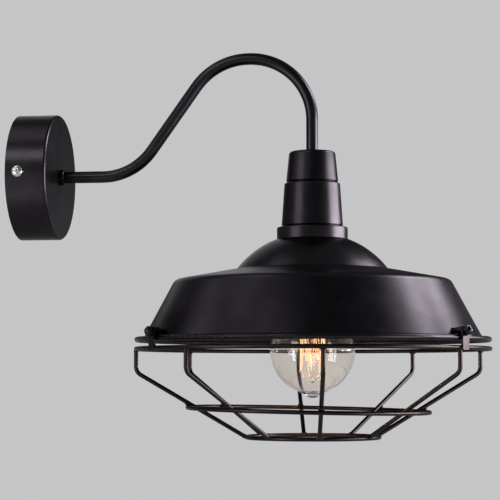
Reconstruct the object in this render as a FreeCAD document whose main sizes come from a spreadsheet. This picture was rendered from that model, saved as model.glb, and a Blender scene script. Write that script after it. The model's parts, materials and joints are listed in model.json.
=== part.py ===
import FreeCAD, Part
import math
import os
import re
import Sketcher

# A gooseneck wall light with a stepped shade, a globe bulb and a wire guard.
# X runs along the wall, the light reaches out along -Y and Z is up. The origin is the
# middle of the canopy's back face, on the wall. Lengths are in mm, angles in degrees.
# A name that ends in _radius, _depth, _height and so on is the size of one feature.

SIZES = {
    # running clearance of a thread or pin, and the gap between pieces that only pass
    "thread_gap": 0.05,
    "fit_gap": 0.3,
    # canopy: a drum with a closed front, open to the wall
    "canopy_radius": 60,
    "canopy_depth": 38.5,
    "canopy_wall": 1.2,
    "canopy_edge": 2.5,
    # its two side screws
    "side_screw_depth": 12,
    "side_screw_radius": 2.5,
    "side_screw_length": 9,
    "side_head_radius": 5.25,
    "side_head_height": 3.2,
    "cross_length": 2.9,
    "cross_width": 0.6,
    "cross_depth": 1.7,
    # bracket: a strap with turned-up ends
    "bracket_width": 20,
    "bracket_sheet": 2,
    "bracket_bend": 3,
    "bracket_tab": 20,
    "mount_spacing": 70,
    "mount_slot_width": 4.5,
    "mount_slot_length": 12,
    "supply_hole_radius": 6,
    "earth_screw_place": 18,
    "earth_screw_radius": 2,
    "earth_head_radius": 3.6,
    "earth_head_height": 2.4,
    "earth_slot_width": 1,
    # terminal block of three poles
    "block_place": -17,
    "block_pitch": 6,
    "block_length": 19,
    "block_height": 16,
    "block_depth": 12,
    "block_well_radius": 2,
    "block_well_depth": 3.4,
    "block_screw_radius": 1.8,
    "block_screw_height": 2,
    "block_entry_radius": 1.5,
    "block_entry_depth": 8,
    # arm: two bends and a drop, all in the plane x = 0
    "arm_radius": 5.6,
    "arm_bore": 4.5,
    "arm_first_run": 110.1,
    "arm_rise": 54.5,
    "arm_height": 110.6,
    "arm_reach": 281.6,
    "arm_root_bend": 58.5,
    "arm_crown_bend": 61.7,
    "arm_drop_bend": 59.5,
    "ferrule_radius": 7.5,
    "ferrule_length": 4,
    "ferrule_edge": 1,
    # threaded tubes at both ends of the arm, with their nuts
    "nipple_radius": 5,
    "nipple_bore": 3.7,
    "nipple_grip": 10,
    "wall_nipple_reach": 11,
    "nut_flats": 14,
    "nut_height": 4,
    "washer_radius": 9.5,
    "washer_sheet": 1,
    # lampholder cover: cap and sleeve, and the collar above the shade
    "neck_top": 20.6,
    "cover_wall": 1.5,
    "cap_top_radius": 22,
    "cap_bottom_radius": 24.45,
    "cap_shoulder": 3,
    "cap_height": 30,
    "sleeve_top_radius": 26.2,
    "sleeve_bottom_radius": 28.8,
    "sleeve_edge": 0.7,
    "sleeve_seat_radius": 19,
    "sleeve_height": 41.6,
    "groove_depth": 0.8,
    "groove_height": 2,
    "collar_radius": 33.3,
    "collar_wall": 2,
    "collar_edge": 1.2,
    "collar_height": 10.9,
    # shade: top plate, dome, shoulder, skirt, flange and rolled rim
    "shade_sheet": 1,
    "plate_radius": 33,
    "dome_radius": 71,
    "dome_drop": 28.3,
    "dome_bend": 85,
    "shoulder_radius": 129,
    "shoulder_drop": 10.5,
    "shoulder_edge": 8,
    "skirt_radius": 157.4,
    "skirt_drop": 52.8,
    "flange_width": 5.8,
    "flange_drop": 2.6,
    "rim_reach": 0.8,
    "rim_wire_radius": 2.5,
    "rim_drop": 0.4,
    "shade_ring_radius": 29,
    "shade_ring_height": 5,
    # lampholder for an E27 bulb
    "holder_radius": 19.8,
    "holder_rise": 7.9,
    "holder_length": 57,
    "holder_cap_sheet": 2.5,
    "holder_hub_radius": 9,
    "holder_hub_height": 5.5,
    "chamber_radius": 15,
    "chamber_depth": 20,
    "holder_floor": 13,
    "holder_screw_place": 17.4,
    "holder_screw_radius": 1.3,
    "holder_screw_length": 10,
    "holder_screw_head": 2.3,
    "holder_screw_head_height": 1.4,
    "shell_radius": 14.5,
    "shell_sheet": 0.5,
    "shell_length": 23,
    "shell_hole_radius": 8,
    "contact_radius": 4,
    "contact_height": 1,
    "post_radius": 1.5,
    "post_head_radius": 2.8,
    "post_head_height": 1.5,
    "post_place": 11,
    "earth_post_length": 6,
    # wires through the arm
    "wire_radius": 1,
    "wire_pitch": 2.2,
    "wire_loop": 18,
    "wire_loop_step": 3,
    "wire_loop_bend": 4,
    "wire_turn": 6,
    "wire_fan_top": 6,
    "wire_fan_drop": 6.5,
    # bulb
    "bulb_tip_radius": 4.8,
    "bulb_tip_height": 1,
    "bulb_insulator_height": 2.7,
    "bulb_insulator_radius": 10.5,
    "bulb_shell_radius": 13.2,
    "bulb_shell_sheet": 0.4,
    "bulb_shell_slope": 2,
    "bulb_shell_length": 21,
    "bulb_neck_radius": 12.6,
    "bulb_neck_bend": 22,
    "bulb_neck_top": 10,
    "globe_radius": 40,
    "globe_drop": 78.5,
    "glass_sheet": 0.7,
    "tip_base_radius": 13,
    "tip_nose_radius": 6,
    "tip_nose_bend": 10,
    "tip_drop": 44.1,
    "stem_flare_sheet": 1.5,
    "stem_tube_radius": 5,
    "stem_tube_length": 12,
    "stem_rod_radius": 1.5,
    "stem_length": 89,
    "stem_button_radius": 3,
    "stem_button_height": 3.5,
    "filament_top_radius": 11,
    "filament_bottom_radius": 12.5,
    "filament_top_drop": 51,
    "filament_bottom_drop": 98.5,
    "filament_wire_radius": 0.35,
    "hook_wire_radius": 0.3,
    "hook_drop": 3.5,
    "lead_wire_radius": 0.4,
    # guard and what it hangs on
    "guard_wire_radius": 2,
    "guard_drop": 6.1,
    "guard_rim_offset": 0.9,
    "guard_middle_radius": 112.9,
    "guard_middle_shift": 4,
    "guard_bottom_radius": 62,
    "guard_bend_drop": 21.5,
    "guard_bend": 9,
    "guard_bottom_drop": 82,
    "rib_lean": 1.5,
    "tab_sheet": 2.2,
    "tab_width": 10,
    "tab_top": 3.7,
    "tab_bottom": 16.8,
    "tab_corner": 1.5,
    "bolt_radius": 2,
    "bolt_drop": 49.8,
    "bolt_hole_gap": 0.2,
    "bolt_head_radius": 3.5,
    "bolt_head_height": 2.4,
    "bolt_end": 4.3,
    "slot_gap": 0.35,
    "spacer_radius": 2.9,
    "guard_nut_flats": 7,
    "guard_nut_height": 5,
    "cap_nut_flats": 9,
    "cap_nut_hex": 2.8,
    "cap_nut_dome": 4.2,
    "cap_nut_dome_height": 3.2,
    "cap_nut_bore_depth": 4.6,
}

# Directions round the shade's axis, counted from +X towards +Y. The guard is bent and welded
# by hand, so its ribs and clips aren't quite evenly spaced.
RIB_ANGLES = (11.8, 54.4, 100.5, 144.5, 189.5, 238.0, 290.5, 328.9)
TAB_ANGLES = (3.7, 128.2, 239.2)
STRANDS = 7
POLES = (-1, 0, 1)

# Places that follow from the sizes. Slopes are plain numbers of degrees.
PLACES = {
    "one_degree": "1 deg",
    "bracket_half": "sqrt((canopy_radius - canopy_wall)^2 - (bracket_width / 2)^2) - fit_gap",
    "front_inside": "canopy_depth - canopy_wall",
    "thread_hole": "nipple_radius + fit_gap",
    "block_front": "bracket_sheet + block_depth",
    "arm_crown_run": "arm_first_run + arm_height / tan(arm_rise)",
    "root_tangent": "arm_root_bend * tan(arm_rise / 2)",
    "crown_tangent": "arm_crown_bend * tan(arm_rise / 2)",
    "cap_bottom": "neck_top - cap_height",
    "sleeve_bottom": "cap_bottom - sleeve_height",
    "collar_bottom": "sleeve_bottom - collar_height",
    "dome_bottom": "collar_bottom - dome_drop",
    "shoulder_bottom": "dome_bottom - shoulder_drop",
    "skirt_bottom": "shoulder_bottom - skirt_drop",
    "flange_bottom": "skirt_bottom - flange_drop",
    "rim_level": "flange_bottom - rim_drop",
    "flange_radius": "skirt_radius + flange_width",
    "rim_radius": "flange_radius + rim_reach",
    "guard_top_radius": "rim_radius + guard_rim_offset",
    "dome_chord": "sqrt((dome_radius - plate_radius)^2 + dome_drop^2)",
    "dome_slope": "atan(dome_drop / (dome_radius - plate_radius)) / one_degree",
    "dome_half_turn": "asin(dome_chord / 2 / dome_bend) / one_degree",
    "shoulder_slope": "atan(shoulder_drop / (shoulder_radius - dome_radius)) / one_degree",
    "skirt_slope": "atan(skirt_drop / (skirt_radius - shoulder_radius)) / one_degree",
    "flange_slope": "atan(flange_drop / (flange_radius - skirt_radius)) / one_degree",
    "holder_top": "collar_bottom + holder_rise",
    "chamber_bottom": "holder_top - chamber_depth",
    "floor_bottom": "chamber_bottom - holder_floor",
    "holder_bottom": "holder_top - holder_length",
    "contact_bottom": "floor_bottom - contact_height",
    "contact_hole": "post_radius + thread_gap",
    "bulb_top": "contact_bottom - fit_gap",
    "insulator_top": "bulb_top - bulb_tip_height",
    "bulb_shell_top": "insulator_top - bulb_insulator_height",
    "bulb_shell_bottom": "bulb_shell_top - bulb_shell_length",
    "globe_centre": "bulb_top - globe_drop",
    "neck_arc_radius": "bulb_neck_radius + bulb_neck_bend",
    "neck_arc_centre": "globe_centre + sqrt((globe_radius + bulb_neck_bend)^2 - neck_arc_radius^2)",
    "neck_share": "globe_radius / (globe_radius + bulb_neck_bend)",
    "glass_top": "bulb_shell_bottom + bulb_neck_top",
    "globe_inside": "globe_radius - glass_sheet",
    "bulb_tip_end": "globe_centre - tip_drop",
    "bolt_level": "dome_bottom - shoulder_drop - bolt_drop",
    "skirt_run": "(skirt_radius - shoulder_radius) / skirt_drop",
    "bolt_wall_inside": "shoulder_radius + bolt_drop * skirt_run - shade_sheet / sin(skirt_slope)",
    "bolt_head_seat": "bolt_wall_inside - bolt_head_radius * skirt_run",
    "guard_level": "rim_level - rim_wire_radius - guard_drop",
    "guard_bend_level": "guard_level - guard_bend_drop",
    "guard_bottom_level": "guard_level - guard_bottom_drop",
    "rib_fall": "guard_bend_level - guard_bottom_level",
    "rib_slope": "atan(rib_fall / (guard_top_radius - guard_bottom_radius)) / one_degree",
    "rib_tangent": "guard_bend * tan((90 - rib_slope) / 2)",
    "middle_fall": "(guard_top_radius - guard_middle_radius) * tan(rib_slope)",
    "guard_middle_level": "guard_bend_level - middle_fall - 2 * guard_wire_radius / cos(rib_slope)",
    "guard_lean": "atan(guard_middle_shift * tan(rib_slope) / guard_middle_radius) / one_degree",
    "tab_inside": "guard_top_radius + guard_wire_radius",
    "tab_outside": "tab_inside + tab_sheet",
    "slot_radius": "bolt_radius + slot_gap",
    "guard_nut_seat": "tab_inside - fit_gap - guard_nut_height",
    "cap_seat": "tab_outside + fit_gap",
    "cap_hex_end": "cap_seat + cap_nut_hex",
    "cap_dome_foot": "sqrt(cap_nut_dome^2 - (cap_nut_dome - cap_nut_dome_height)^2)",
}

doc = FreeCAD.newDocument("cage_wall_light")


def full(text):
    """The expression, with each name led by the sheet that holds it."""
    def lead(match):
        word = match.group(0)
        if word in SIZES:
            return "sizes." + word
        if word in PLACES:
            return "places." + word
        return word
    return re.sub(r"[a-z_]+", lead, text)


def make_sheets():
    sizes = doc.addObject("Spreadsheet::Sheet", "sizes")
    for row, (name, size) in enumerate(SIZES.items(), 1):
        sizes.set("A%d" % row, name.replace("_", " "))
        sizes.set("B%d" % row, str(size))
        sizes.setAlias("B%d" % row, name)
    places = doc.addObject("Spreadsheet::Sheet", "places")
    for row, (name, text) in enumerate(PLACES.items(), 1):
        places.set("A%d" % row, name.replace("_", " "))
        places.setAlias("B%d" % row, name)
        places.set("B%d" % row, "=" + full(text))
        doc.recompute()


def value(text):
    """The number that an expression stands for."""
    result = doc.getObject("sizes").evalExpression(full(text))
    return float(getattr(result, "Value", result))


def bind(item, path, text):
    item.setExpression(path, full(text))


def place(item, x="0", y="0", z="0", axis=None, angle=0):
    """Put a piece at x, y, z, turned about one axis."""
    turn = FreeCAD.Rotation(FreeCAD.Vector(*axis), angle) if axis else FreeCAD.Rotation()
    item.Placement = FreeCAD.Placement(FreeCAD.Vector(value(x), value(y), value(z)), turn)
    for letter, text in (("x", x), ("y", y), ("z", z)):
        if text != "0":
            bind(item, "Placement.Base." + letter, text)


def on_wall(item):
    """The piece is drawn with +Z out of the wall and +Y up."""
    place(item, axis=(1, 0, 0), angle=90)


def on_shade(item, angle=0):
    """The piece is drawn about the shade's axis, with +X as its outward direction."""
    place(item, y="-arm_reach", axis=(0, 0, 1), angle=angle)


# ---- sketches -------------------------------------------------------------------------

def pin(rules, texts, side, end, x, y):
    """Hold one point of a sketch at x, y."""
    for kind, text in (("DistanceX", x), ("DistanceY", y)):
        rules.append(Sketcher.Constraint(kind, -1, 1, side, end, value(text)))
        texts.append(text)


def arc_side(sketch, here, there, radius):
    """An arc from here to there. It turns left, or right where the radius is negative."""
    chord = there - here
    across = FreeCAD.Vector(-chord.y, chord.x, 0).normalize()
    offset = math.sqrt(radius ** 2 - chord.Length ** 2 / 4)
    centre = (here + there) * 0.5 + across * math.copysign(offset, radius)
    ends = (here, there) if radius > 0 else (there, here)
    angles = [math.atan2(spot.y - centre.y, spot.x - centre.x) for spot in ends]
    circle = Part.Circle(centre, FreeCAD.Vector(0, 0, 1), abs(radius))
    side = sketch.addGeometry(Part.ArcOfCircle(circle, *angles), False)
    return (side, 1, 2) if radius > 0 else (side, 2, 1)


def outline(sketch, corners, closed=True):
    """Sides from corner to corner. A corner is (x, y), or (x, y, radius) before an arc."""
    spots = [FreeCAD.Vector(value(corner[0]), value(corner[1]), 0) for corner in corners]
    rules = []
    texts = []
    sides = []
    count = len(corners) if closed else len(corners) - 1
    for index in range(count):
        here = spots[index]
        there = spots[(index + 1) % len(spots)]
        if len(corners[index]) == 2:
            side = (sketch.addGeometry(Part.LineSegment(here, there), False), 1, 2)
        else:
            side = arc_side(sketch, here, there, value(corners[index][2]))
            rules.append(Sketcher.Constraint("Radius", side[0], abs(value(corners[index][2]))))
            texts.append("abs(%s)" % corners[index][2])
        sides.append(side)
        pin(rules, texts, side[0], side[1], corners[index][0], corners[index][1])
    for before, after in zip(sides, sides[1:] + sides[:1] if closed else sides[1:]):
        rules.append(Sketcher.Constraint("Coincident", before[0], before[2], after[0], after[1]))
        texts.append(None)
    if not closed:
        pin(rules, texts, sides[-1][0], sides[-1][2], corners[-1][0], corners[-1][1])
    tie(sketch, rules, texts)


def circle(sketch, x, y, radius):
    spot = FreeCAD.Vector(value(x), value(y), 0)
    side = sketch.addGeometry(Part.Circle(spot, FreeCAD.Vector(0, 0, 1), value(radius)), False)
    rules = [Sketcher.Constraint("Radius", side, value(radius))]
    texts = [radius]
    pin(rules, texts, side, 3, x, y)
    tie(sketch, rules, texts)


def tie(sketch, rules, texts):
    """Add the rules, each with the expression that drives it."""
    for index, text in zip(sketch.addConstraint(rules), texts):
        if text is not None:
            bind(sketch, "Constraints[%d]" % index, text)


def draw(sketch, shapes):
    for shape in shapes:
        if isinstance(shape, list):
            outline(sketch, shape)
        else:
            circle(sketch, *shape)


def sketch_on(body, plane, shift=("0", "0", "0"), turn=0):
    """A sketch on one of the body's origin planes, shifted and turned in its own frame."""
    sketch = body.newObject("Sketcher::SketchObject", body.Name + "_sketch")
    base = [item for item in body.Origin.OriginFeatures if item.Role == plane][0]
    sketch.AttachmentSupport = (base, "")
    sketch.MapMode = "FlatFace"
    spin = FreeCAD.Rotation(FreeCAD.Vector(0, 1, 0), turn)
    sketch.AttachmentOffset = FreeCAD.Placement(FreeCAD.Vector(*map(value, shift)), spin)
    for letter, text in zip("xyz", shift):
        if text != "0":
            bind(sketch, "AttachmentOffset.Base." + letter, text)
    return sketch


def rectangle(x0, y0, x1, y1):
    return [(x0, y0), (x1, y0), (x1, y1), (x0, y1)]


def slot(x, half_length, radius):
    """A round-ended slot along x. Each end is two quarter circles."""
    right = "%s + %s - %s" % (x, half_length, radius)
    left = "%s - %s + %s" % (x, half_length, radius)
    return [
        (left, "-(%s)" % radius), (right, "-(%s)" % radius, radius),
        ("%s + %s" % (right, radius), "0", radius), (right, radius),
        (left, radius, radius), ("%s - %s" % (left, radius), "0", radius),
    ]


def hexagon(flats):
    corner = "%s / sqrt(3)" % flats
    half = "%s / 2" % flats
    return [
        (corner, "0"), (corner + " / 2", half), ("-%s / 2" % corner, half),
        ("-" + corner, "0"), ("-%s / 2" % corner, "-" + half), (corner + " / 2", "-" + half),
    ]


def cross(x, y):
    """The outline of a cross recess about the point x, y."""
    far, near = "cross_length", "cross_width"
    steps = [(far, near), (near, near), (near, far)]
    quarter = steps
    second = [("-" + b, a) for a, b in steps]
    third = [("-" + a, "-" + b) for a, b in steps]
    fourth = [(b, "-" + a) for a, b in steps]
    corners = quarter + second + third + fourth
    return [("%s + %s" % (x, a), "%s + %s" % (y, b)) for a, b in corners]


# ---- features -------------------------------------------------------------------------

def new_body(label):
    return doc.addObject("PartDesign::Body", label)


def revolve(body, corners, axis="V_Axis", shift=("0", "0", "0")):
    sketch = sketch_on(body, "XZ_Plane", shift)
    draw(sketch, [corners])
    spin = body.newObject("PartDesign::Revolution", body.Name + "_turn")
    spin.Profile = sketch
    spin.ReferenceAxis = (sketch, [axis])
    spin.Angle = 360
    return spin


def turned(label, corners, axis="V_Axis", shift=("0", "0", "0")):
    body = new_body(label)
    revolve(body, corners, axis, shift)
    return body


def pad(body, plane, shapes, length, shift=("0", "0", "0"), both=False):
    sketch = sketch_on(body, plane, shift)
    draw(sketch, shapes)
    block = body.newObject("PartDesign::Pad", body.Name + "_pad")
    block.Profile = sketch
    bind(block, "Length", length)
    block.SideType = "Symmetric" if both else "One side"
    return block


def pocket(body, plane, shapes, depth=None, shift=("0", "0", "0"), forward=False, turn=0):
    """A cut from a sketch: right through both ways, or to a depth. It goes against the
    plane's normal, or along it where forward is true."""
    sketch = sketch_on(body, plane, shift, turn)
    draw(sketch, shapes)
    doc.recompute()
    hole = body.newObject("PartDesign::Pocket", body.Name + "_cut")
    hole.Profile = sketch
    if depth is None:
        hole.Type = "ThroughAll"
        hole.SideType = "One side" if forward else "Symmetric"
    else:
        hole.Type = "Length"
        bind(hole, "Length", depth)
    hole.Reversed = forward
    return hole


def piped(body, path_plane, path, ring_plane, rings, ring_shift):
    """Rings swept along an open path."""
    spine = sketch_on(body, path_plane)
    outline(spine, path, closed=False)
    profile = sketch_on(body, ring_plane, ring_shift)
    draw(profile, rings)
    pipe = body.newObject("PartDesign::AdditivePipe", body.Name + "_pipe")
    pipe.Profile = profile
    pipe.Spine = (spine, [])
    return pipe


def group(label, members):
    """Identical pieces that share one node, each a solid of its own."""
    node = doc.addObject("Part::Compound", label)
    node.Links = members
    return node


def route(points, radii):
    """A wire of straight runs, with an arc of its own radius at each corner."""
    edges = []
    start = points[0]
    for before, corner, after, radius in zip(points, points[1:], points[2:], radii):
        back = (before - corner).normalize()
        ahead = (after - corner).normalize()
        half = back.getAngle(ahead) / 2
        first = corner + back * (radius / math.tan(half))
        last = corner + ahead * (radius / math.tan(half))
        inside = (back + ahead).normalize() * (radius / math.sin(half) - radius)
        edges.append(Part.LineSegment(start, first).toShape())
        edges.append(Part.Arc(first, corner + inside, last).toShape())
        start = last
    edges.append(Part.LineSegment(start, points[-1]).toShape())
    return Part.Wire(edges)


def rods(ends, radius):
    """Straight round rods between pairs of points."""
    solids = []
    for start, end in ends:
        solids.append(Part.makeCylinder(radius, (end - start).Length, start, end - start))
    return Part.makeCompound(solids)


def shaped(label, shape):
    node = doc.addObject("Part::Feature", label)
    node.Shape = shape
    return node


# ---- wall end -------------------------------------------------------------------------

def wall_bracket():
    body = new_body("wall_bracket")
    inner = "(bracket_bend - bracket_sheet)"
    half = "bracket_half"
    sheet = "bracket_sheet"
    profile = [
        ("-(%s - bracket_bend)" % half, "0"), (half + " - bracket_bend", "0", "bracket_bend"),
        (half, "bracket_bend"), (half, "bracket_tab"),
        (half + " - bracket_sheet", "bracket_tab"),
        (half + " - bracket_sheet", "bracket_bend", "-" + inner),
        (half + " - bracket_bend", sheet), ("-(%s - bracket_bend)" % half, sheet, "-" + inner),
        ("-(%s - bracket_sheet)" % half, "bracket_bend"),
        ("-(%s - bracket_sheet)" % half, "bracket_tab"), ("-" + half, "bracket_tab"),
        ("-" + half, "bracket_bend", "bracket_bend"),
    ]
    pad(body, "XZ_Plane", [profile], "bracket_width", both=True)
    slots = [
        slot(x, "mount_slot_length / 2", "mount_slot_width / 2")
        for x in ("mount_spacing / 2", "-mount_spacing / 2")
    ]
    screw_hole = ("earth_screw_place", "0", "earth_screw_radius + thread_gap")
    pocket(body, "XY_Plane", slots + [("0", "0", "supply_hole_radius"), screw_hole])
    pocket(body, "YZ_Plane", [("0", "side_screw_depth", "side_screw_radius + thread_gap")])
    on_wall(body)


def earth_screw():
    body = turned("earth_screw", [
        ("0", "0"), ("earth_screw_radius", "0"), ("earth_screw_radius", "bracket_sheet"),
        ("earth_head_radius", "bracket_sheet"),
        ("earth_head_radius", "bracket_sheet + earth_head_height"),
        ("0", "bracket_sheet + earth_head_height"),
    ])
    top = ("0", "0", "bracket_sheet + earth_head_height")
    recess = rectangle("-earth_head_radius - fit_gap", "-earth_slot_width / 2",
                       "earth_head_radius + fit_gap", "earth_slot_width / 2")
    pocket(body, "XY_Plane", [recess], "earth_head_height / 2", top)
    place(body, x="earth_screw_place", axis=(1, 0, 0), angle=90)


def pole_place(pole):
    return "(block_place + %d * block_pitch)" % pole


def terminal_block():
    body = new_body("terminal_block")
    face = rectangle("block_place - block_length / 2", "-block_height / 2",
                     "block_place + block_length / 2", "block_height / 2")
    pad(body, "XY_Plane", [face], "block_depth", ("0", "0", "bracket_sheet"))
    wells = [(pole_place(pole), "0", "block_well_radius") for pole in POLES]
    pocket(body, "XY_Plane", wells, "block_well_depth", ("0", "0", "block_front"))
    entries = [(pole_place(pole), "block_entry_depth", "block_entry_radius") for pole in POLES]
    pocket(body, "XZ_Plane", entries)
    on_wall(body)


def terminal_screws():
    floor = "block_front - block_well_depth"
    screws = []
    for pole in POLES:
        screw = turned("terminal_screw_%d" % (pole + 2), [
            ("0", floor), ("block_screw_radius", floor),
            ("block_screw_radius", floor + " + block_screw_height"),
            ("0", floor + " + block_screw_height"),
        ])
        place(screw, x=pole_place(pole), axis=(1, 0, 0), angle=90)
        screws.append(screw)
    group("terminal_screws", screws)


def canopy():
    body = turned("canopy", [
        ("canopy_radius", "0"), ("canopy_radius", "canopy_depth - canopy_edge", "canopy_edge"),
        ("canopy_radius - canopy_edge", "canopy_depth"), ("thread_hole", "canopy_depth"),
        ("thread_hole", "front_inside"),
        ("canopy_radius - canopy_edge", "front_inside", "-(canopy_edge - canopy_wall)"),
        ("canopy_radius - canopy_wall", "canopy_depth - canopy_edge"),
        ("canopy_radius - canopy_wall", "0"),
    ])
    pocket(body, "YZ_Plane", [("0", "side_screw_depth", "side_screw_radius + fit_gap")])
    on_wall(body)


def canopy_screws():
    screws = []
    for index, angle in enumerate((0, 180), 1):
        screw = turned("canopy_screw_%d" % index, [
            ("canopy_radius - side_screw_length", "0"),
            ("canopy_radius + side_head_height", "0"),
            ("canopy_radius + side_head_height", "side_head_radius / 3",
             "side_head_radius"),
            ("canopy_radius + side_head_height / 3", "side_head_radius"),
            ("canopy_radius", "side_head_radius"), ("canopy_radius", "side_screw_radius"),
            ("canopy_radius - side_screw_length", "side_screw_radius"),
        ], axis="H_Axis", shift=("0", "side_screw_depth", "0"))
        face = ("0", "0", "canopy_radius + side_head_height")
        pocket(screw, "YZ_Plane", [cross("0", "side_screw_depth")], "cross_depth", face)
        turn = FreeCAD.Rotation(FreeCAD.Vector(1, 0, 0), 90)
        spin = FreeCAD.Rotation(FreeCAD.Vector(0, 1, 0), angle)
        screw.Placement = FreeCAD.Placement(FreeCAD.Vector(), spin.multiply(turn))
        screws.append(screw)
    group("canopy_screws", screws)


def hex_nut(label, shift):
    body = new_body(label)
    hole = ("0", "0", "nipple_radius + thread_gap")
    pad(body, "XY_Plane", [hexagon("nut_flats"), hole], "nut_height", ("0", "0", shift))
    return body


def tube_ring(label, inner, outer, bottom, top):
    return turned(label, [(inner, bottom), (outer, bottom), (outer, top), (inner, top)])


def wall_joint():
    grip = "canopy_depth + nipple_grip - 2 * fit_gap"
    on_wall(tube_ring("wall_nipple", "nipple_bore", "nipple_radius",
                      "front_inside - wall_nipple_reach", grip))
    on_wall(tube_ring("wall_washer", "nipple_radius + thread_gap", "washer_radius",
                      "front_inside - washer_sheet", "front_inside"))
    on_wall(hex_nut("wall_nut", "front_inside - washer_sheet - nut_height"))
    on_wall(turned("arm_ferrule", [
        ("arm_radius + thread_gap", "canopy_depth"), ("ferrule_radius", "canopy_depth"),
        ("ferrule_radius", "canopy_depth + ferrule_length - ferrule_edge", "ferrule_edge"),
        ("ferrule_radius - ferrule_edge", "canopy_depth + ferrule_length"),
        ("arm_radius + thread_gap", "canopy_depth + ferrule_length"),
    ]))


# ---- arm ------------------------------------------------------------------------------

def arm_tube():
    body = new_body("arm_tube")
    path = [
        ("-canopy_depth", "0"), ("-(arm_first_run - root_tangent)", "0", "-arm_root_bend"),
        ("-(arm_first_run + root_tangent * cos(arm_rise))", "root_tangent * sin(arm_rise)"),
        ("-(arm_crown_run - crown_tangent * cos(arm_rise))",
         "arm_height - crown_tangent * sin(arm_rise)", "arm_crown_bend"),
        ("-(arm_crown_run + crown_tangent)", "arm_height"),
        ("-(arm_reach - arm_drop_bend)", "arm_height", "arm_drop_bend"),
        ("-arm_reach", "arm_height - arm_drop_bend"), ("-arm_reach", "neck_top"),
    ]
    rings = [("0", "0", "arm_radius"), ("0", "0", "arm_bore")]
    piped(body, "YZ_Plane", path, "XZ_Plane", rings, ("0", "0", "canopy_depth"))
    seat = "nipple_radius + thread_gap"
    wall_end = ("0", "0", "canopy_depth")
    pocket(body, "XZ_Plane", [("0", "0", seat)], "nipple_grip", wall_end, forward=True)
    lamp_end = ("0", "0", "neck_top")
    pocket(body, "XY_Plane", [("0", "-arm_reach", seat)], "nipple_grip", lamp_end, forward=True)


def arm_wires():
    """Earth, live and neutral: from the terminal block, through the arm, to the holder."""
    along = [value(text) for text in ("arm_first_run", "arm_crown_run", "arm_reach")]
    crown = value("arm_height")
    entry = value("block_entry_depth")
    fan_top = value("holder_top - wire_fan_top")
    fan_end = fan_top - value("wire_fan_drop")
    post_top = value("chamber_bottom + post_head_height + thread_gap")
    loop, turn = value("wire_loop_bend"), value("wire_turn")
    bends = [value(text) for text in ("arm_root_bend", "arm_crown_bend", "arm_drop_bend")]
    for step, (label, pole) in enumerate((("earth_wire", 1), ("live_wire", 0),
                                          ("neutral_wire", -1))):
        start = value(pole_place(pole))
        inside = value("wire_pitch") * -pole
        over = value("wire_loop + %d * wire_loop_step" % step)
        end = value("post_place") * -pole
        points = [(start, -entry, value("block_height / 4")), (start, -entry, over),
                  (inside, -entry, over), (inside, -entry, 0), (inside, -along[0], 0),
                  (inside, -along[1], crown), (inside, -along[2], crown)]
        radii = [loop, loop, turn] + bends
        if pole:
            points += [(inside, -along[2], fan_top), (end, -along[2], fan_end)]
            radii += [loop, loop]
        points.append((end, -along[2], post_top))
        wire = route([FreeCAD.Vector(*point) for point in points], radii)
        start_face = Part.Wire(Part.makeCircle(value("wire_radius"), wire.Vertexes[0].Point))
        shaped(label, wire.makePipeShell([start_face], True, True))


# ---- lampholder and its cover ---------------------------------------------------------

def grooved_foot(radius, level):
    """The outer foot of a cover, with a groove where it meets the cover below."""
    return [
        (radius + " - groove_depth", level),
        (radius + " - groove_depth", level + " + groove_height"),
        (radius, level + " + groove_height"),
    ]


def neck():
    hole = "thread_hole"
    on_shade(tube_ring("neck_nipple", "nipple_bore", "nipple_radius",
                       "holder_top - fit_gap", "neck_top + nipple_grip - 2 * fit_gap"))
    on_shade(hex_nut("neck_nut", "neck_top - cover_wall - nut_height"))
    on_shade(turned("neck_cap", [
        (hole, "neck_top"), (hole, "neck_top - cover_wall"),
        ("cap_top_radius - cap_shoulder", "neck_top - cover_wall",
         "-(cap_shoulder - cover_wall)"),
        ("cap_top_radius - cover_wall", "neck_top - cap_shoulder"),
        ("cap_bottom_radius - cover_wall", "cap_bottom"),
        *grooved_foot("cap_bottom_radius", "cap_bottom"),
        ("cap_top_radius", "neck_top - cap_shoulder", "cap_shoulder"),
        ("cap_top_radius - cap_shoulder", "neck_top"),
    ]))
    on_shade(turned("neck_sleeve", [
        ("sleeve_seat_radius", "cap_bottom"), ("sleeve_seat_radius", "cap_bottom - cover_wall"),
        ("sleeve_top_radius - cover_wall", "cap_bottom - cover_wall"),
        ("sleeve_bottom_radius - cover_wall", "sleeve_bottom"),
        *grooved_foot("sleeve_bottom_radius", "sleeve_bottom"),
        ("sleeve_top_radius", "cap_bottom - sleeve_edge"),
        ("sleeve_top_radius - sleeve_edge", "cap_bottom"),
    ]))
    bore = "holder_radius + fit_gap"
    on_shade(turned("shade_collar", [
        (bore, "sleeve_bottom"), (bore, "sleeve_bottom - collar_wall"),
        ("collar_radius - collar_wall", "sleeve_bottom - collar_wall"),
        ("collar_radius - collar_wall", "collar_bottom"), ("collar_radius", "collar_bottom"),
        ("collar_radius", "sleeve_bottom - collar_edge", "collar_edge"),
        ("collar_radius - collar_edge", "sleeve_bottom"),
    ]))


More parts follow.
